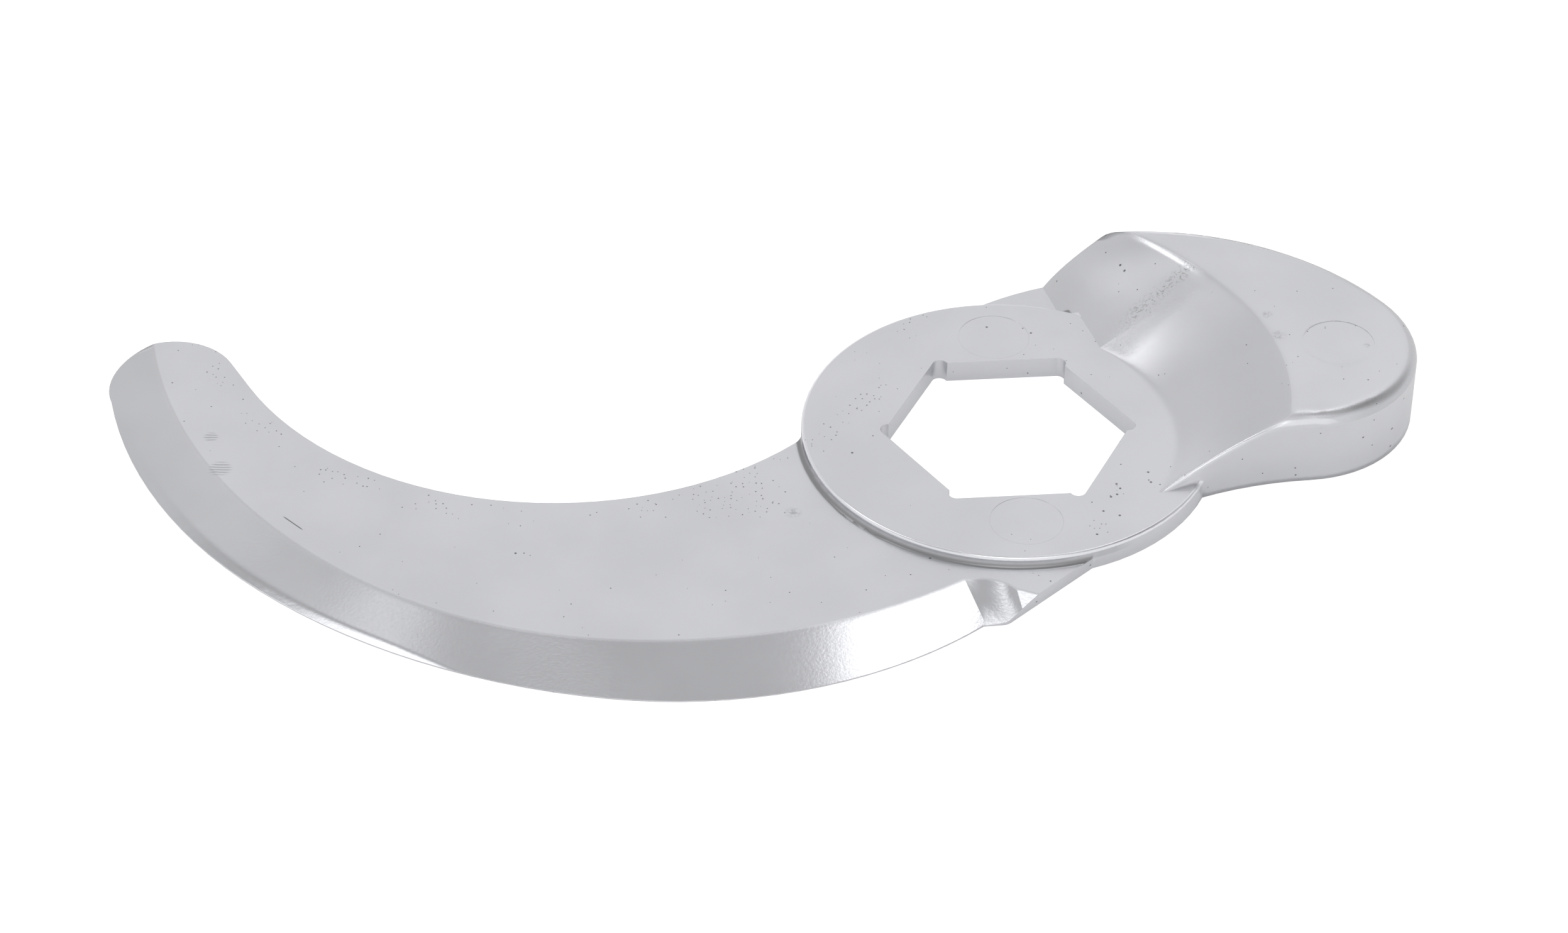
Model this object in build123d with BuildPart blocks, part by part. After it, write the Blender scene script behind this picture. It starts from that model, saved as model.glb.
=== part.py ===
from build123d import *
from math import atan2, cos, degrees, radians, sin, sqrt
import os

# Cutter blade of a table-top food cutter: one casting with a curved, ground blade on one side of
# a hexagon-bored hub and a raised counterweight on the other side.
# Millimetres. The origin is on the hub axis in the flat underside, +Z is up, the blade reaches
# towards -X and the counterweight towards +X. Angles are in degrees, anticlockwise from +X.

# Hub: a flat ring round the hexagonal bore, with a small relief in each corner of the bore
bore_across_flats = 32.0
bore_turn = 6.3
bore_sides = 6
relief_radius = 1.2
relief_depth = 0.75
hub_diameter = 60.6
hub_thickness = 3.35
hub_edge_radius = 0.5
hub_cove_radius = 0.9

# Blade plate: thinner than the hub, flush with it underneath
plate_thickness = 1.9

# Cutting edge: three tangent arcs from the heel to the tip
edge_start_x = -4.1
edge_start_y = -41.4
edge_heading_angle = 222.6
edge_heel_radius = 66.6
edge_heel_sweep_angle = 48.4
edge_middle_radius = 92.2
edge_middle_sweep_angle = 34.6
edge_tip_radius = 78.9
edge_tip_sweep_angle = 36.7
edge_margin = 0.9

# Inner edge of the blade: one large arc, a short straight and the rounded nose
hook_center_x = -67.5
hook_center_y = 32.8
hook_radius = 51.1
hook_start_angle = 325.0
hook_end_angle = 209.9
nose_straight = 6.9
nose_radius = 9.6
nose_sweep_angle = 65.0

# Heel: a straight upright wall that would touch a circle of this radius round the hub axis
heel_circle_radius = 27.7
heel_heading_angle = 226.4
heel_wall_length = 30.1
heel_corner_radius = 2.0

# Ground bevel: a single arc on the top face, and the crease where the grinding stops
crease_length = 8.5
crease_angle = 108.5
ridge_heading_angle = 215.2
ridge_heel_radius = 80.8
ridge_heel_sweep_angle = 37.1
ridge_middle_radius = 68.1
ridge_middle_sweep_angle = 34.6
ridge_tip_radius = 84.6
ridge_tip_sweep_angle = 48.0
overrun_angle = 14.0

# Run-out of the grinding: two shallow hollows side by side between the crease and the heel wall
runout_mid_x = -2.4
runout_mid_y = -33.2
runout_end_x = 0.5
runout_end_y = -35.0
runout_foot_x = 2.6
runout_foot_y = -44.5
hollow_heading_angle = -19.8

# Counterweight: outline arcs from behind the hub, round the end and back to the hub
tail_height = 11.5
tail_start_x = -10.8
tail_start_y = 25.2
tail_heading_angle = 46.7
tail_web_radius = 46.0
tail_web_sweep_angle = 33.9
tail_back_radius = 43.2
tail_back_sweep_angle = 65.5
tail_end_radius = 18.3
tail_end_sweep_angle = 120.2
tail_front_radius = 52.8
tail_front_sweep_angle = 32.0
tail_rim_radius = 1.7
tail_crest_radius = 0.5
tail_ridge_radius = 0.5

# Slope from the hub up to the top of the counterweight: a dish round the hub axis on its front
# side and a flank that cuts across the back of the hub
seat_radius = 27.8
seat_center_x = -2.5
seat_center_y = -1.7
crest_radius = 40.9
crest_crown = 0.9
crown_height = 7.5
corner_angle_low = 57.7
corner_angle_high = 39.0
flank_heading_angle_low = 100.1
flank_heading_angle_high = 126.5
flank_turn_angle_low = 1.0
flank_turn_angle_high = 32.2
flank_length = 27.0
dish_end_angle = -70.0

# Round ejector marks in the top faces
pin_mark_radius = 5.3
pin_mark_depth = 0.04
back_mark_x = -1.7
back_mark_y = 21.8
front_mark_x = 2.2
front_mark_y = -21.7
tail_mark_x = 48.5
tail_mark_y = 11.5

# Room that cutting shapes reach past the metal
spare = 30.0

hub_radius = hub_diameter / 2


def polar(length, angle):
    """Vector of a length at an angle in the plan."""
    return Vector(length * cos(radians(angle)), length * sin(radians(angle)))


def tangent_chain(start, heading, bends):
    """Arcs that follow on from each other; a bend is a radius and a turn, positive to the left."""
    position, direction = start, heading
    for radius, turn in bends:
        arc = JernArc(start=position, tangent=polar(1, direction), radius=radius, arc_size=turn)
        position, direction = arc @ 1, direction + turn
    return position


edge_start = Vector(edge_start_x, edge_start_y)
ridge_start = edge_start + polar(crease_length, crease_angle)
hook_center = Vector(hook_center_x, hook_center_y)
heel_foot = polar(heel_circle_radius, heel_heading_angle + 90)
heel_corner = heel_foot + polar(heel_wall_length, heel_heading_angle)

# Plan of the blade plate, closed inside the hub
with BuildSketch() as blade_plan:
    with BuildLine():
        inner = CenterArc(hook_center, hook_radius, hook_start_angle, hook_end_angle - hook_start_angle)
        throat = Line(inner @ 1, inner @ 1 + (inner % 1) * nose_straight)
        nose = JernArc(start=throat @ 1, tangent=throat % 1, radius=nose_radius, arc_size=nose_sweep_angle)
        tip = tangent_chain(
            edge_start,
            edge_heading_angle,
            [
                (edge_heel_radius, -edge_heel_sweep_angle),
                (edge_middle_radius, -edge_middle_sweep_angle),
                (edge_tip_radius, -edge_tip_sweep_angle),
            ],
        )
        TangentArc(nose @ 1, tip, tangent=nose % 1)
        Line(edge_start, heel_corner)
        Line(heel_corner, heel_foot)
        Line(heel_foot, inner @ 0)
    make_face()
    fillet(blade_plan.vertices().sort_by_distance(heel_corner)[0], heel_corner_radius)

# Plan of the counterweight and the web behind the hub, closed inside the hub
with BuildSketch() as tail_plan:
    with BuildLine():
        tail_start = Vector(tail_start_x, tail_start_y)
        tail_finish = tangent_chain(
            tail_start,
            tail_heading_angle,
            [
                (tail_web_radius, -tail_web_sweep_angle),
                (tail_back_radius, -tail_back_sweep_angle),
                (tail_end_radius, -tail_end_sweep_angle),
                (tail_front_radius, tail_front_sweep_angle),
            ],
        )
        Line(tail_finish, tail_start)
    make_face()

# Plan of the whole casting
with BuildSketch() as footprint:
    Circle(hub_radius)
    add(blade_plan.sketch)
    add(tail_plan.sketch)

# Hub ring with its rounded rim
with BuildPart() as hub:
    with BuildSketch():
        Circle(hub_radius)
    extrude(amount=hub_thickness)
    fillet(hub.edges().group_by(Axis.Z)[-1], hub_edge_radius)

# Cove where the hub meets the blade, the web and the front of the counterweight
with BuildPart() as cove:
    with BuildSketch(Plane.XZ):
        with BuildLine():
            cove_foot = (hub_radius + hub_cove_radius, plate_thickness)
            cove_head = (hub_radius, plate_thickness + hub_cove_radius)
            RadiusArc(cove_foot, cove_head, hub_cove_radius)
            Polyline(
                cove_head,
                (hub_radius - hub_cove_radius, plate_thickness + hub_cove_radius),
                (hub_radius - hub_cove_radius, 0),
                (hub_radius + hub_cove_radius, 0),
                cove_foot,
            )
        make_face()
    revolve(axis=Axis.Z)
    extrude(blade_plan.sketch + tail_plan.sketch, amount=hub_thickness, mode=Mode.INTERSECT)


def slope_section(height):
    """Level section, at a height, of the room on the counterweight's side of the slope."""
    rise = height / tail_height
    run = (crest_radius - seat_radius) / (tail_height - hub_thickness)
    bow = crest_crown * height * (tail_height - height) / (crown_height * (tail_height - crown_height))
    radius = seat_radius + run * (height - hub_thickness) - bow
    center = Vector(seat_center_x, seat_center_y) * (tail_height - height) / (tail_height - hub_thickness)
    corner = center + polar(radius, corner_angle_low + rise * (corner_angle_high - corner_angle_low))
    heading = flank_heading_angle_low + rise * (flank_heading_angle_high - flank_heading_angle_low)
    turn = flank_turn_angle_low + rise * (flank_turn_angle_high - flank_turn_angle_low)
    reach = tail_back_radius + spare
    with BuildSketch(Plane.XY.offset(height)) as section:
        with BuildLine():
            corner_angle = degrees(atan2(corner.Y - center.Y, corner.X - center.X))
            dish = CenterArc(center, radius, corner_angle, dish_end_angle - corner_angle)
            flank = JernArc(
                start=corner,
                tangent=polar(1, heading),
                radius=flank_length / radians(turn),
                arc_size=turn,
            )
            Polyline(dish @ 1, (reach, (dish @ 1).Y), (reach, (flank @ 1).Y), flank @ 1)
        make_face()
    return section.sketch


slope_levels = [slope_section(level) for level in (0, crown_height, tail_height)]

# Slope block: all the room on the counterweight's side of the slope, with its crest rounded
with BuildPart() as slope:
    loft(sections=slope_levels)
    crest = slope.edges().group_by(Axis.Z)[-1].filter_by(GeomType.LINE, reverse=True)
    fillet(crest, tail_crest_radius)

# Counterweight: its outline drawn up to full height with a rounded rim, cut back to the slope,
# and the edge between the slope and the front wall rounded
with BuildPart() as tail:
    with BuildSketch():
        add(tail_plan.sketch)
    extrude(amount=tail_height)
    rim = tail.edges().group_by(Axis.Z)[-1].filter_by(GeomType.CIRCLE)
    fillet(rim, tail_rim_radius)
    add(slope.part, mode=Mode.INTERSECT)
    raised = tail.edges().filter_by_position(Axis.Z, hub_thickness, tail_height, inclusive=(False, False))
    fillet(raised.filter_by(GeomType.BSPLINE).sort_by(Axis.Y)[0], tail_ridge_radius)

# Grinding: everything above the bevel and its run-out, lofted from the underside's level to the
# top face and carried on past the tip
grinding_start = edge_start + polar(edge_margin, edge_heading_angle + 90)
runout_foot = Vector(runout_foot_x, runout_foot_y)
runout_end = Vector(runout_end_x, runout_end_y)
outside_x = edge_start_x + spare
outside_y = edge_start_y - edge_heel_radius
hollow_edge = polar(spare, hollow_heading_angle)
with BuildPart() as grinding:
    with BuildSketch():
        with BuildLine():
            low_end = tangent_chain(
                grinding_start,
                edge_heading_angle,
                [
                    (edge_heel_radius + edge_margin, -edge_heel_sweep_angle),
                    (edge_middle_radius + edge_margin, -edge_middle_sweep_angle),
                    (edge_tip_radius + edge_margin, -edge_tip_sweep_angle - overrun_angle),
                ],
            )
            Polyline(
                low_end,
                (low_end.X - spare, low_end.Y),
                (low_end.X - spare, outside_y),
                (outside_x, outside_y),
                runout_foot + hollow_edge,
                runout_foot,
                grinding_start,
            )
        make_face()
    with BuildSketch(Plane.XY.offset(plate_thickness)):
        with BuildLine():
            high_end = tangent_chain(
                ridge_start,
                ridge_heading_angle,
                [
                    (ridge_heel_radius, -ridge_heel_sweep_angle),
                    (ridge_middle_radius, -ridge_middle_sweep_angle),
                    (ridge_tip_radius, -ridge_tip_sweep_angle),
                ],
            )
            Polyline(
                high_end,
                (low_end.X - spare, high_end.Y),
                (low_end.X - spare, outside_y),
                (outside_x, outside_y),
                runout_end + hollow_edge,
                runout_end,
            )
            ThreePointArc(runout_end, (runout_mid_x, runout_mid_y), ridge_start)
        make_face()
    loft(ruled=True)

# Relief in each corner of the bore: a round pocket that undercuts the flat clockwise of the corner
bore_corner_radius = bore_across_flats / 2 / cos(radians(180 / bore_sides))
relief_inset = relief_radius - relief_depth
relief_along = sqrt(relief_radius**2 - relief_inset**2)
flat_angle = bore_turn - 180 / bore_sides
relief_center = polar(bore_corner_radius, bore_turn)
relief_center += polar(relief_along, flat_angle - 90) - polar(relief_inset, flat_angle)
relief_angle = degrees(atan2(relief_center.Y, relief_center.X))
with BuildSketch() as bore:
    RegularPolygon(bore_corner_radius, bore_sides, rotation=bore_turn)
    with PolarLocations(relief_center.length, bore_sides, start_angle=relief_angle):
        Circle(relief_radius)

# The casting in one piece: plate, counterweight and hub are joined, then the bevel is ground and
# the bore and the ejector marks are cut
with BuildPart() as cutter_blade:
    with BuildSketch():
        add(footprint.sketch)
    extrude(amount=plate_thickness)
    add(tail.part)
    add(hub.part)
    add(cove.part)
    add(grinding.part, mode=Mode.SUBTRACT)
    extrude(bore.sketch, amount=tail_height, mode=Mode.SUBTRACT)
    with BuildSketch(Plane.XY.offset(hub_thickness)):
        with Locations((back_mark_x, back_mark_y), (front_mark_x, front_mark_y)):
            Circle(pin_mark_radius)
    with BuildSketch(Plane.XY.offset(tail_height)):
        with Locations((tail_mark_x, tail_mark_y)):
            Circle(pin_mark_radius)
    extrude(amount=-pin_mark_depth, mode=Mode.SUBTRACT)

cutter_blade.part.label = "cutter_blade"
os.makedirs("parts", exist_ok=True)
export_step(cutter_blade.part, "parts/cutter_blade.step")
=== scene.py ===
import math

import bpy
from mathutils import Matrix, Vector

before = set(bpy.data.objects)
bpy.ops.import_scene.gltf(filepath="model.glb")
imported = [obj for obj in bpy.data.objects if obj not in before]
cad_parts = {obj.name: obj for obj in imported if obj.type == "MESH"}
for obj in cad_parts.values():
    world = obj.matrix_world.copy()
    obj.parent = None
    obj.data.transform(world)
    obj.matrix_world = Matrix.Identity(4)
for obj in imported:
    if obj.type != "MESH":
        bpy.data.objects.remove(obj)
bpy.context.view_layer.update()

MM = 0.001
IMAGE_WIDTH = 2494
SENSOR = 36.0

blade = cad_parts["cutter_blade"]


# Camera: it looks along +Y and down, with a slight roll; the hub axis is right of the middle
FOCAL_PIXELS = 8111.0
ELEVATION = math.radians(38.47)
ROLL = math.radians(1.27)
DISTANCE = 748.5 * MM
HUB_RIGHT_PIXELS = 354.8
HUB_DOWN_PIXELS = -34.3
CLIP_NEAR = 0.05
CLIP_FAR = 20.0


def make_camera():
    data = bpy.data.cameras.new("camera")
    data.sensor_width = SENSOR
    data.lens = FOCAL_PIXELS * SENSOR / IMAGE_WIDTH
    data.clip_start = CLIP_NEAR
    data.clip_end = CLIP_FAR
    cam = bpy.data.objects.new("camera", data)
    bpy.context.scene.collection.objects.link(cam)
    back = Vector((0, -math.cos(ELEVATION), math.sin(ELEVATION)))
    level = Vector((1, 0, 0))
    above = back.cross(level)
    right = level * math.cos(ROLL) + above * math.sin(ROLL)
    up = above * math.cos(ROLL) - level * math.sin(ROLL)
    aside = HUB_RIGHT_PIXELS * DISTANCE / FOCAL_PIXELS
    down = HUB_DOWN_PIXELS * DISTANCE / FOCAL_PIXELS
    place = back * DISTANCE - right * aside + up * down
    turn = Matrix((right, up, back)).transposed()
    cam.matrix_world = Matrix.Translation(place) @ turn.to_4x4()
    bpy.context.scene.camera = cam


def new_material(name):
    mat = bpy.data.materials.new(name)
    mat.use_nodes = True
    mat.node_tree.nodes.clear()
    return mat, mat.node_tree


class Graph:
    """Short helpers for wiring shader nodes."""

    def __init__(self, tree):
        self.tree = tree

    def node(self, kind, **props):
        n = self.tree.nodes.new(kind)
        for key, value in props.items():
            setattr(n, key, value)
        return n

    def link(self, a, b):
        self.tree.links.new(a, b)

    def feed(self, socket, value):
        if isinstance(value, bpy.types.NodeSocket):
            self.link(value, socket)
        else:
            socket.default_value = value

    def math(self, operation, a, b=0.0, c=0.0, clamp=False):
        n = self.node("ShaderNodeMath", operation=operation, use_clamp=clamp)
        for socket, value in zip(n.inputs, (a, b, c)):
            self.feed(socket, value)
        return n.outputs[0]

    def ramp(self, value, low, high, a=0.0, b=1.0):
        """Smooth step: a up to low, b from high on."""
        n = self.node("ShaderNodeMapRange", interpolation_type="SMOOTHSTEP", clamp=True)
        self.feed(n.inputs["Value"], value)
        ends = {"From Min": low, "From Max": high, "To Min": a, "To Max": b}
        for key, number in ends.items():
            n.inputs[key].default_value = number
        return n.outputs["Result"]

    def noise(self, vector, scale, detail, rough):
        n = self.node("ShaderNodeTexNoise")
        self.link(vector, n.inputs["Vector"])
        n.inputs["Scale"].default_value = scale
        n.inputs["Detail"].default_value = detail
        n.inputs["Roughness"].default_value = rough
        n.inputs["Distortion"].default_value = 0.0
        return n.outputs["Fac"]


# Lines of the part that the material follows, in mm from the hub axis
HOOK_CENTER = (-67.5, 32.8)
HOOK_RADIUS = 51.1
HUB_RADIUS = 30.3
FRONT_CENTER = (50.65, -59.08)
FRONT_RADIUS = 52.8
CREST_CENTER = (25.5, 34.0)
CREASE_X = -8.0
BAND_START = (14.6, 19.1)
BAND_END = (31.7, 31.7)

# Marks in the photo, in mm from the hub axis; round ones with their radius
SCRAPES = (
    (-116.3, -4.7, 1.3),
    (-114.2, -12.0, 2.0),
)
SMUDGES = (
    (-31.2, -19.2, 1.6),
    (39.8, 13.0, 1.5),
    (38.4, 18.0, 1.2),
    (52.7, 11.0, 0.8),
)
SCRATCH_START = (-104.0, -22.8)
SCRATCH_END = (-101.2, -25.5)
SCRATCH_WIDTH = 0.16
SCRATCH_END_SOFT = 0.4
PIT_CLUSTERS = (
    (15.4, -14.2, 2.2),
    (20.6, -12.0, 1.8),
    (3.4, -32.8, 1.6),
    (-40.0, -14.0, 9.0),
    (12.6, -23.0, 2.5),
)
LARGE_PITS = (
    (15.4, -12.8),
    (15.9, -13.8),
    (14.5, -15.8),
    (15.4, -15.2),
    (13.3, -19.1),
    (15.6, -20.0),
    (20.1, -9.9),
    (20.4, -12.2),
    (-2.7, 24.3),
    (15.3, 39.0),
    (17.4, 33.8),
    (18.0, 32.6),
    (-70.5, -29.8),
    (12.2, -24.4),
    (-11.6, -28.8),
    (-22.8, -6.9),
    (-6.1, 11.7),
    (3.9, 23.0),
)

# Ranges of the masks. A ramp has its start and end, and the values there if they aren't 0 and 1.
# A band has its low end, its high end and its softness. Heights and distances are in mm.
# UPWARD is the Z part of the face's normal: 1 on a level face and 0 on a wall.
TOP_UPWARD = (0.5, 0.7)
WALL_UPWARD = (0.1, 0.3, 1.0, 0.0)
GROUND_UPWARD = (0.90, 0.95)
GROUND_HEIGHT = (1.80, 1.88, 1.0, 0.0)
SLOPE_UPWARD_BAND = (0.62, 0.94, 0.04)
SLOPE_HEIGHT = (3.3, 4.0)
COVE_BAND = (HUB_RADIUS + 0.05, HUB_RADIUS + 0.95, 0.2)
COVE_HEIGHT_BAND = (1.85, 2.9, 0.1)
COVE_UPWARD = (0.98, 0.999, 1.0, 0.25)
COVE_END_X = (14.0, 18.0, 1.0, 0.0)
BAND_ACROSS = (-3.5, 1.5, 2.0)
SPECKLE_ACROSS = (0.0, 2.4, 1.2)
SPECKLE_HEIGHT = (4.5, 7.0)
RIM_HUB_DISTANCE = (42.0, 44.0)
RIM_HEIGHT = (9.7, 9.9)
RIM_UPWARD = (0.97, 0.998, 1.0, 0.0)
HUB_EDGE_UPWARD_BAND = (0.2, 0.985, 0.01)
HUB_EDGE_BAND = (29.7, 30.5, 0.1)
HUB_EDGE_HEIGHT_BAND = (2.8, 3.42, 0.05)
RIDGE_BAND = (FRONT_RADIUS + 0.08, FRONT_RADIUS + 0.5, 0.05)
RIDGE_HEIGHT = (3.4, 3.6)
RIDGE_UPWARD = (0.1, 0.3)
RIDGE_END_X = (45.0, 49.0, 1.0, 0.0)
RIDGE_GAIN = (3.4, 9.0, 0.25, 0.8)
CREST_DISTANCE = (4.0, 8.0, 1.0, 0.0)
CREST_HEIGHT = (10.9, 11.2)
CREST_UPWARD = (0.99, 0.999, 1.0, 0.0)

# Noises: scale per mm, detail and roughness
CLOUD = (0.06, 3.0, 0.5)
GRAIN = (2.2, 2.0, 0.6)
COARSE = (2.4, 3.0, 0.75)
PATCHES = (0.09, 2.0, 0.5)
STRIPE_SCALE = 0.55
STRIPE_DISTORTION = 2.0

# Ranges of noise that turn into tones
CLOUD_TONES = (0.3, 0.7, 0.69, 0.73)
PATCH_TONES = (0.45, 0.6)
STRIPE_TONES = (0.35, 0.75)
SMUDGE_TONES = (0.42, 0.6)
SPECKLE_TONES = (0.50, 0.62)

# Pits: sizes in mm, and the share of the cells that has one
FINE_PIT_CELL = 0.9
FINE_PIT_RADIUS = 0.12
WALL_PIT_CELL = 1.6
WALL_PIT_RADIUS = 0.17
WALL_PIT_SHARE = 0.15
LARGE_PIT = (0.08, 0.24, 1.0, 0.0)
INNER_EDGE_BAND = (HOOK_RADIUS + 1.2, HOOK_RADIUS + 5.0, 1.0)
INNER_EDGE_SHARE = 0.5
CLUSTER_SHARE = 0.45
PLAIN_SHARE = 0.015
SMALLEST_PIT = 0.5
PIT_SPREAD = 0.7
PIT_WALL = 0.5

# How much of the colour each mark and each painted shade takes away, and how much the painted
# highlight on the polished edges adds
PIT_DARK = 0.68
SCRAPE_DARK = 0.3
SMUDGE_DARK = 0.32
SCRATCH_DARK = 0.8
COVE_PAINTED_SHADE = 0.55
SPECKLE_DARK = 0.42
RIM_PAINTED_SHADE_X = (46.0, 53.0, 0.0, 0.15)
SLOPE_DARK_HEIGHT = (4.5, 9.5, 0.0, 0.07)
PAINTED_HIGHLIGHT_GAIN = 0.28
TINT = (0.99, 0.995, 1.035)

# Roughness of the cast skin, and what changes it
CAST_ROUGHNESS = 0.26
GRAIN_ROUGHNESS = 0.06
PIT_ROUGHNESS = 0.3
SLOPE_ROUGHNESS_HEIGHT = (4.5, 9.5, 0.0, 0.12)
GROUND_SHINE = 0.15
EDGE_SHINE = 0.14

# Relief in mm. The bevel falls away below a height that changes along X.
BEVEL_FALL_X = (-90.0, -60.0, 0.43, -0.22)
BEVEL_FALL_SOFT = 0.16
BEVEL_FALL_SLOPE = -0.71
GRAIN_RELIEF = 0.005
BAND_RELIEF_HEIGHT = (10.2, 10.8, 0.08, 0.0)
PIT_RELIEF = 0.05

# Radii in mm over which edges look softened, and where
LEAST_ROUNDING = 0.12
BEVEL_ROUNDING = 1.6
BEVEL_ROUNDING_X = (CREASE_X - 5.0, CREASE_X, 1.0, 0.0)
BEVEL_ROUNDING_HEIGHT = (0.9, 1.7)
WEIGHT_ROUNDING_X = (44.0, 52.0, 1.0, 2.0)
WEIGHT_ROUNDING_HEIGHT = (9.0, 10.0)
CREST_ROUNDING_BAND = (37.0, 44.0, 1.5)
FOOT_ROUNDING = 2.2
FOOT_HUB_DISTANCE = (22.0, 24.0)
FOOT_HEIGHT = (4.6, 5.4, 1.0, 0.0)
FOOT_START_X = (14.0, 22.0)
FOOT_START_Y = (-15.0, -11.0)
ROUNDING_SAMPLES = 8


class Steel(Graph):
    """The casting's material, with coordinates in mm."""

    def __init__(self, tree):
        super().__init__(tree)
        place = self.node("ShaderNodeTexCoord").outputs["Object"]
        self.place = self.vector("SCALE", place, scale=1 / MM)
        self.flat = self.vector("MULTIPLY", self.place, (1, 1, 0))
        split = self.node("ShaderNodeSeparateXYZ")
        self.link(self.place, split.inputs[0])
        self.across_x = split.outputs["X"]
        self.across_y = split.outputs["Y"]
        self.height = split.outputs["Z"]
        turned = self.node("ShaderNodeCombineXYZ")
        self.link(self.across_x, turned.inputs["X"])
        self.link(self.height, turned.inputs["Y"])
        self.side = turned.outputs[0]
        facing = self.node("ShaderNodeSeparateXYZ")
        self.link(self.node("ShaderNodeTexCoord").outputs["Normal"], facing.inputs[0])
        self.upward = facing.outputs["Z"]

        self.hub = self.away((0.0, 0.0))
        self.grain = self.noise(self.place, *GRAIN)
        self.coarse = self.noise(self.place, *COARSE)
        self.top = self.ramp(self.upward, *TOP_UPWARD)
        self.ground = self.times(
            self.ramp(self.height, *GROUND_HEIGHT),
            self.ramp(self.upward, *GROUND_UPWARD),
        )
        self.slope = self.times(
            self.between(self.upward, *SLOPE_UPWARD_BAND),
            self.ramp(self.height, *SLOPE_HEIGHT),
        )

    def vector(self, operation, a, b=(0, 0, 0), scale=None):
        n = self.node("ShaderNodeVectorMath", operation=operation)
        self.feed(n.inputs[0], a)
        self.feed(n.inputs[1], b)
        if scale is not None:
            n.inputs["Scale"].default_value = scale
        return n.outputs["Value"] if operation in ("DISTANCE", "DOT_PRODUCT") else n.outputs[0]

    def away(self, center):
        return self.vector("DISTANCE", self.flat, (center[0], center[1], 0))

    def along(self, start, way):
        """How far a place lies from start in the direction of the unit vector way."""
        reach = self.vector("DOT_PRODUCT", self.flat, (way.x, way.y, 0))
        return self.math("SUBTRACT", reach, start.dot(way))

    def between(self, value, low, high, soft):
        rise = self.ramp(value, low - soft, low + soft)
        fall = self.ramp(value, high - soft, high + soft, 1.0, 0.0)
        return self.math("MULTIPLY", rise, fall)

    def most(self, masks):
        total = masks[0]
        for mask in masks[1:]:
            total = self.math("MAXIMUM", total, mask)
        return total

    def times(self, *values):
        total = values[0]
        for value in values[1:]:
            total = self.math("MULTIPLY", total, value)
        return total

    def rest(self, mask):
        return self.math("SUBTRACT", 1.0, mask)

    def spots(self, circles, core, full=1.0):
        """A mask for each circle: full up to the core's share of its radius, then fading."""
        return [self.ramp(self.away(c), c[2] * core, c[2], full, 0.0) for c in circles]

    def pits(self, vector, cell, radius, share):
        """Round pits, one to a cell at most; share is the part of the cells that has one."""
        n = self.node("ShaderNodeTexVoronoi", voronoi_dimensions="2D", feature="F1")
        self.link(vector, n.inputs["Vector"])
        n.inputs["Scale"].default_value = 1 / cell
        chance = self.node("ShaderNodeSeparateColor")
        self.link(n.outputs["Color"], chance.inputs[0])
        spread, smallest = PIT_SPREAD * radius / cell, SMALLEST_PIT * radius / cell
        size = self.math("MULTIPLY_ADD", chance.outputs[1], spread, smallest)
        reach = self.math("DIVIDE", n.outputs["Distance"], size)
        depth = self.math("SUBTRACT", 1.0, reach, clamp=True)
        there = self.math("LESS_THAN", chance.outputs[0], share)
        return self.math("MULTIPLY", self.ramp(depth, 0.0, PIT_WALL), there)

    def line(self, start, end, width):
        """Thin mark from start to end."""
        a, b = Vector(start), Vector(end)
        way = (b - a).normalized()
        run = self.along(a, way)
        off = self.math("ABSOLUTE", self.along(a, Vector((-way.y, way.x))))
        thin = self.ramp(off, 0.0, width, 1.0, 0.0)
        return self.times(thin, self.between(run, 0.0, (b - a).length, SCRATCH_END_SOFT))


def cast_pits(g):
    """Pits of the casting: many near the blade's inner edge and the hub, few elsewhere."""
    inner_edge = g.between(g.away(HOOK_CENTER), *INNER_EDGE_BAND)
    patchy = g.ramp(g.noise(g.flat, *PATCHES), *PATCH_TONES)
    share = g.times(inner_edge, patchy, INNER_EDGE_SHARE)
    clusters = g.spots(PIT_CLUSTERS, 0.5, CLUSTER_SHARE)
    share = g.math("ADD", g.most([share] + clusters), PLAIN_SHARE)
    fine = g.pits(g.flat, FINE_PIT_CELL, FINE_PIT_RADIUS, share)
    fine = g.times(fine, g.top, g.rest(g.ground))
    on_walls = g.pits(g.side, WALL_PIT_CELL, WALL_PIT_RADIUS, WALL_PIT_SHARE)
    on_walls = g.times(on_walls, g.ramp(g.upward, *WALL_UPWARD))
    large = g.most([g.ramp(g.away(c), *LARGE_PIT) for c in LARGE_PITS])
    return g.most([fine, on_walls, g.times(large, g.top)])


def face_marks(g):
    """Scrapes, smudges and a scratch on the flat faces."""
    stripes = g.node("ShaderNodeTexWave", wave_type="BANDS", bands_direction="Y")
    g.link(g.flat, stripes.inputs["Vector"])
    stripes.inputs["Scale"].default_value = STRIPE_SCALE
    stripes.inputs["Distortion"].default_value = STRIPE_DISTORTION
    lines = g.ramp(stripes.outputs["Fac"], *STRIPE_TONES)
    scraped = g.times(g.most(g.spots(SCRAPES, 0.5)), lines, SCRAPE_DARK)
    smudged = g.most(g.spots(SMUDGES, 0.0))
    smudged = g.times(smudged, g.ramp(g.coarse, *SMUDGE_TONES), SMUDGE_DARK)
    scratched = g.times(g.line(SCRATCH_START, SCRATCH_END, SCRATCH_WIDTH), SCRATCH_DARK)
    return g.times(g.most([scraped, smudged, scratched]), g.top)


def cove_painted_shade(g):
    """Painted shade: a dark line in the cove round the hub, where the crease lies in shade."""
    return g.times(
        g.between(g.hub, *COVE_BAND),
        g.between(g.height, *COVE_HEIGHT_BAND),
        g.ramp(g.upward, *COVE_UPWARD),
        g.ramp(g.across_x, *COVE_END_X),
    )


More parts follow.
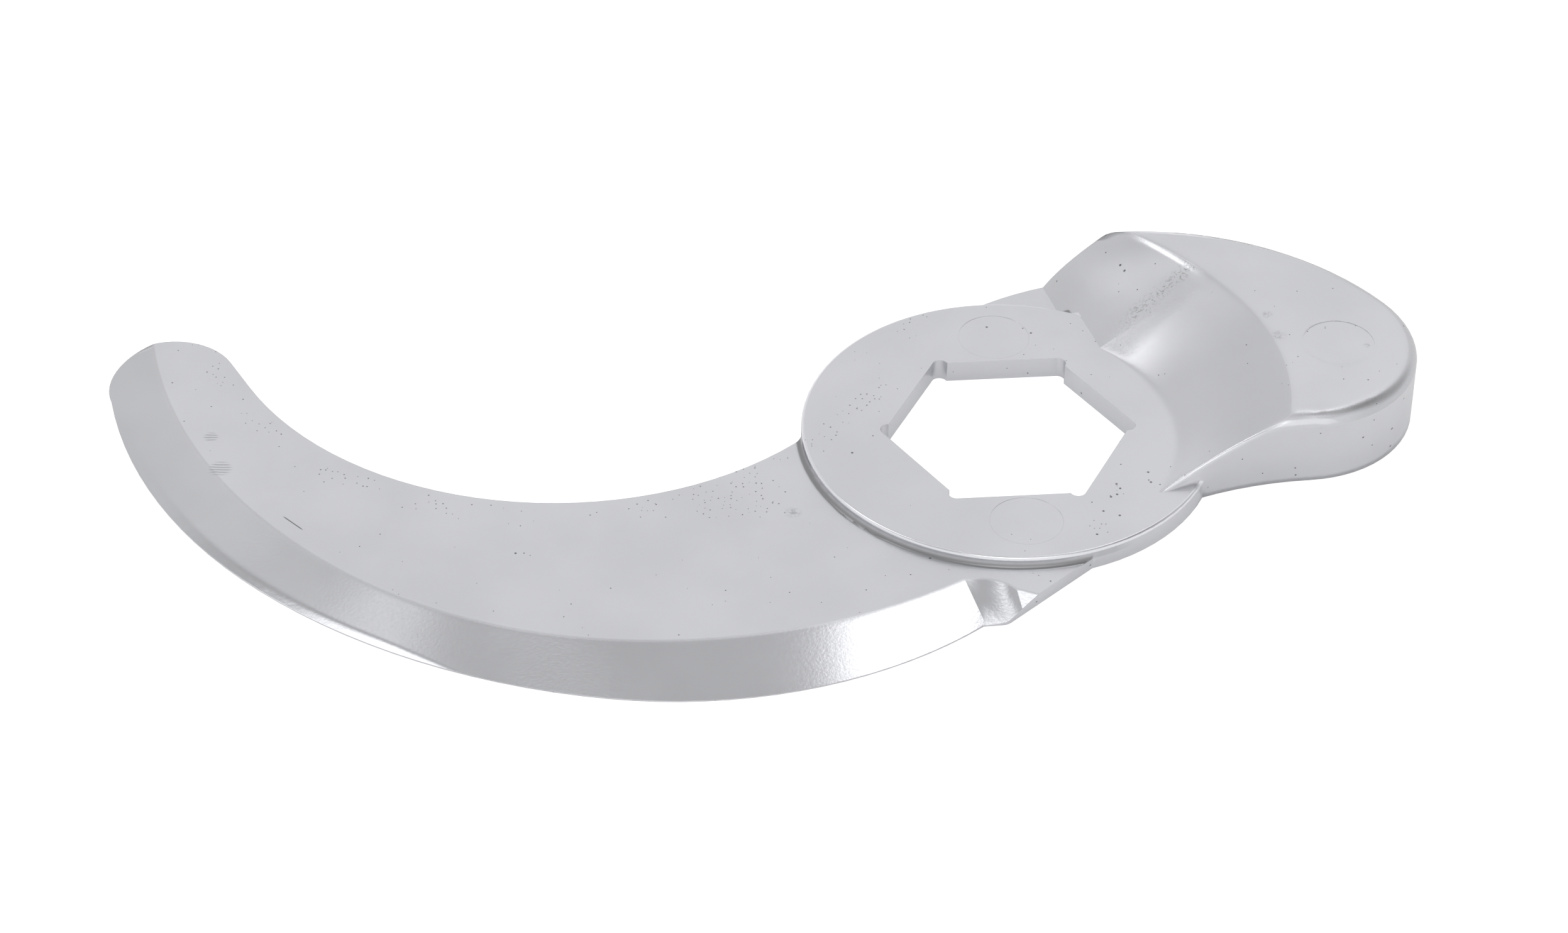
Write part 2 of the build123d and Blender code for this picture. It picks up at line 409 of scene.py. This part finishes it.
def polished_edges_with_highlight(g):
    """Polished edges that also get a painted highlight: the hub's rim, the ridge along the
    slope's front and the crest.
    """
    hub_edge = g.times(
        g.between(g.upward, *HUB_EDGE_UPWARD_BAND),
        g.between(g.hub, *HUB_EDGE_BAND),
        g.between(g.height, *HUB_EDGE_HEIGHT_BAND),
    )
    ridge = g.times(
        g.between(g.away(FRONT_CENTER), *RIDGE_BAND),
        g.ramp(g.height, *RIDGE_HEIGHT),
        g.ramp(g.upward, *RIDGE_UPWARD),
        g.ramp(g.across_x, *RIDGE_END_X),
        g.ramp(g.height, *RIDGE_GAIN),
    )
    crest = g.times(
        g.ramp(g.away(CREST_CENTER), *CREST_DISTANCE),
        g.ramp(g.height, *CREST_HEIGHT),
        g.ramp(g.upward, *CREST_UPWARD),
    )
    return g.most([hub_edge, ridge, crest])


def softened_normal(g):
    """Edges look softened: a little everywhere, more on the bevel, the counterweight's top
    edges and the slope's foot."""
    bevel = g.times(
        g.ground,
        g.ramp(g.across_x, *BEVEL_ROUNDING_X),
        g.ramp(g.height, *BEVEL_ROUNDING_HEIGHT),
    )
    weight = g.math(
        "ADD",
        g.ramp(g.across_x, *WEIGHT_ROUNDING_X),
        g.between(g.hub, *CREST_ROUNDING_BAND),
    )
    foot = g.times(
        g.ramp(g.hub, *FOOT_HUB_DISTANCE),
        g.ramp(g.height, *FOOT_HEIGHT),
        g.ramp(g.across_x, *FOOT_START_X),
        g.ramp(g.across_y, *FOOT_START_Y),
    )
    radius = g.most([
        g.times(bevel, BEVEL_ROUNDING),
        g.times(g.ramp(g.height, *WEIGHT_ROUNDING_HEIGHT), weight),
        g.times(foot, FOOT_ROUNDING),
    ])
    soft = g.node("ShaderNodeBevel")
    soft.samples = ROUNDING_SAMPLES
    g.link(g.times(g.math("MAXIMUM", radius, LEAST_ROUNDING), MM), soft.inputs["Radius"])
    return soft.outputs[0]


def steel():
    mat, tree = new_material("cast_steel")
    g = Steel(tree)
    pits = cast_pits(g)
    polish_and_highlight = polished_edges_with_highlight(g)

    # Rounded rim of the counterweight
    rim = g.times(
        g.ramp(g.hub, *RIM_HUB_DISTANCE),
        g.ramp(g.height, *RIM_HEIGHT),
        g.ramp(g.upward, *RIM_UPWARD),
    )

    # Rough, speckled band up the slope, where the dish meets the flank
    a, b = Vector(BAND_START), Vector(BAND_END)
    off = g.along(a, Vector((a.y - b.y, b.x - a.x)).normalized())
    band = g.times(g.between(off, *BAND_ACROSS), g.slope)
    speckle = g.times(
        g.ramp(g.coarse, *SPECKLE_TONES),
        g.between(off, *SPECKLE_ACROSS),
        g.ramp(g.height, *SPECKLE_HEIGHT),
        g.slope,
    )

    marks_and_painted_shade = g.most([
        g.times(pits, PIT_DARK),
        face_marks(g),
        # painted shade in the cove round the hub
        g.times(cove_painted_shade(g), COVE_PAINTED_SHADE),
        g.times(speckle, SPECKLE_DARK),
        # painted shade: the counterweight's rim made darker towards its end, standing in for its
        # dark reflection
        g.times(rim, g.ramp(g.across_x, *RIM_PAINTED_SHADE_X)),
        # the slope darker towards its top
        g.times(g.slope, g.ramp(g.height, *SLOPE_DARK_HEIGHT)),
    ])
    # painted highlight: the colour of the polished edges made brighter
    bright = g.math("MULTIPLY_ADD", polish_and_highlight, PAINTED_HIGHLIGHT_GAIN, 1.0)
    base = g.ramp(g.noise(g.place, *CLOUD), *CLOUD_TONES)
    base = g.times(base, g.rest(marks_and_painted_shade), bright)
    shade = g.node("ShaderNodeCombineColor")
    for socket, tint in zip(shade.inputs, TINT):
        g.link(g.times(base, tint), socket)

    dulled = g.times(g.slope, g.ramp(g.height, *SLOPE_ROUGHNESS_HEIGHT), g.rest(polish_and_highlight))
    rough = g.math("MULTIPLY_ADD", g.grain, GRAIN_ROUGHNESS, CAST_ROUGHNESS)
    rough = g.math("SUBTRACT", rough, g.times(g.ground, GROUND_SHINE))
    rough = g.math("ADD", rough, dulled)
    rough = g.math("SUBTRACT", rough, g.times(g.most([rim, polish_and_highlight]), EDGE_SHINE))
    rough = g.math("ADD", rough, g.times(pits, PIT_ROUGHNESS))

    # The ground bevel rounds down towards its outer edge
    below = g.math("SUBTRACT", g.ramp(g.across_x, *BEVEL_FALL_X), g.height)
    below = g.math("SMOOTH_MAX", below, 0.0, BEVEL_FALL_SOFT)
    relief = g.times(below, g.ground, BEVEL_FALL_SLOPE)
    band_relief = g.times(g.coarse, band, g.ramp(g.height, *BAND_RELIEF_HEIGHT))
    relief = g.math("ADD", relief, g.times(g.grain, GRAIN_RELIEF))
    relief = g.math("ADD", relief, band_relief)
    relief = g.math("SUBTRACT", relief, g.times(pits, PIT_RELIEF))
    bump = g.node("ShaderNodeBump")
    g.link(softened_normal(g), bump.inputs["Normal"])
    bump.inputs["Strength"].default_value = 1.0
    bump.inputs["Distance"].default_value = MM
    g.link(relief, bump.inputs["Height"])

    shader = g.node("ShaderNodeBsdfPrincipled")
    shader.inputs["Metallic"].default_value = 1.0
    g.link(shade.outputs[0], shader.inputs["Base Color"])
    g.link(rough, shader.inputs["Roughness"])
    g.link(bump.outputs[0], shader.inputs["Normal"])
    out = g.node("ShaderNodeOutputMaterial")
    g.link(shader.outputs[0], out.inputs["Surface"])
    return mat


def direction(azimuth, elevation):
    """Unit vector; azimuth 0 is behind the object, along +Y, and 90 is on the +X side."""
    a, e = math.radians(azimuth), math.radians(elevation)
    return Vector((math.sin(a) * math.cos(e), math.cos(a) * math.cos(e), math.sin(e)))


def softbox(name, azimuth, elevation, distance, width, height, level):
    """Area lamp aimed at the hub."""
    data = bpy.data.lights.new(name, "AREA")
    data.shape = "RECTANGLE"
    data.size = width
    data.size_y = height
    data.energy = level * math.pi * width * height
    lamp = bpy.data.objects.new(name, data)
    bpy.context.scene.collection.objects.link(lamp)
    aim = direction(azimuth, elevation)
    lamp.location = aim * distance
    lamp.rotation_mode = "QUATERNION"
    lamp.rotation_quaternion = aim.to_track_quat("Z", "Y")
    lamp.visible_camera = False


# The studio's even light: elevations in degrees between which it falls, and its two levels
LOW_ELEVATION = 43
HIGH_ELEVATION = 56
LOW_LEVEL = 0.85
HIGH_LEVEL = 0.54
WHITE = (1, 1, 1, 1)

# Soft glows of the studio, and shades with a level below 0: name, azimuth, elevation, radius up
# to which it is full, radius at which it ends, all in degrees, and level
GLOWS = (
    ("side", -61.5, 55.5, 2.5, 9, 1.7),
    ("bevel", -22.5, 56.5, 0.5, 3, 0.55),
    ("rim", -49, 65, 3, 8, 1.2),
    ("hollow", -11, 65.5, 1, 4, 1.5),
    ("front", 165, 66, 9, 22, 0.6),
    ("right shade", 76, 38, 14, 32, -0.35),
    ("ridge", 190, 73, 4, 12, 0.9),
    ("left shade", -48, 32, 14, 34, -0.14),
    ("edge", -25, 51, 2, 7, 0.12),
    ("tip", -8, 35, 3, 10, 0.06),
)


def make_world():
    world = bpy.data.worlds.new("studio")
    bpy.context.scene.world = world
    world.use_nodes = True
    tree = world.node_tree
    tree.nodes.clear()
    g = Graph(tree)
    ray = g.node("ShaderNodeTexCoord").outputs["Generated"]
    split = g.node("ShaderNodeSeparateXYZ")
    g.link(ray, split.inputs[0])
    low, high = math.sin(math.radians(LOW_ELEVATION)), math.sin(math.radians(HIGH_ELEVATION))
    level = g.ramp(split.outputs["Z"], low, high, LOW_LEVEL, HIGH_LEVEL)
    for name, azimuth, elevation, inner, outer, strength in GLOWS:
        near = g.node("ShaderNodeVectorMath", operation="DOT_PRODUCT", label=name)
        g.link(ray, near.inputs[0])
        near.inputs[1].default_value = direction(azimuth, elevation)
        wide, full = math.cos(math.radians(outer)), math.cos(math.radians(inner))
        level = g.math("ADD", level, g.ramp(near.outputs["Value"], wide, full, 0.0, strength))
    rays = g.node("ShaderNodeLightPath")
    white = g.node("ShaderNodeBackground")
    white.inputs["Color"].default_value = WHITE
    white.inputs["Strength"].default_value = 1.0
    studio = g.node("ShaderNodeBackground")
    studio.inputs["Color"].default_value = WHITE
    g.link(level, studio.inputs["Strength"])
    mix = g.node("ShaderNodeMixShader")
    g.link(rays.outputs["Is Camera Ray"], mix.inputs[0])
    g.link(studio.outputs[0], mix.inputs[1])
    g.link(white.outputs[0], mix.inputs[2])
    out = g.node("ShaderNodeOutputWorld")
    g.link(mix.outputs[0], out.inputs["Surface"])


# Floor: a white square just under the part. It glows towards the camera and in the metal.
FLOOR_HALF = 3.0
FLOOR_GAP = 0.02
FLOOR_COLOR = (0.9, 0.9, 0.9, 1)
FLOOR_GLOW_SEEN = 0.6
FLOOR_GLOW_MIRRORED = 0.14


def make_floor():
    mesh = bpy.data.meshes.new("floor")
    signs = ((-1, -1), (1, -1), (1, 1), (-1, 1))
    corners = [(x * FLOOR_HALF, y * FLOOR_HALF, 0) for x, y in signs]
    mesh.from_pydata(corners, [], [(0, 1, 2, 3)])
    floor = bpy.data.objects.new("floor", mesh)
    bpy.context.scene.collection.objects.link(floor)
    floor.location.z = -FLOOR_GAP * MM
    mat, tree = new_material("floor_white")
    g = Graph(tree)
    shader = g.node("ShaderNodeBsdfDiffuse")
    shader.inputs["Color"].default_value = FLOOR_COLOR
    rays = g.node("ShaderNodeLightPath")
    glossy, through = rays.outputs["Is Glossy Ray"], rays.outputs["Is Transmission Ray"]
    mirrored = g.math("MAXIMUM", glossy, through)
    seen = g.math("MULTIPLY", rays.outputs["Is Camera Ray"], FLOOR_GLOW_SEEN)
    glow = g.node("ShaderNodeEmission")
    strength = g.math("MULTIPLY_ADD", mirrored, FLOOR_GLOW_MIRRORED, seen)
    g.link(strength, glow.inputs["Strength"])
    both = g.node("ShaderNodeAddShader")
    g.link(shader.outputs[0], both.inputs[0])
    g.link(glow.outputs[0], both.inputs[1])
    out = g.node("ShaderNodeOutputMaterial")
    g.link(both.outputs[0], out.inputs["Surface"])
    mesh.materials.append(mat)


bpy.context.scene.view_settings.view_transform = "Standard"
make_camera()
make_world()
make_floor()
metal = steel()
for slot in blade.material_slots:
    slot.material = metal
softbox(
    "right_box", azimuth=17.5, elevation=55, distance=1.2, width=0.18, height=0.24, level=1.8
)
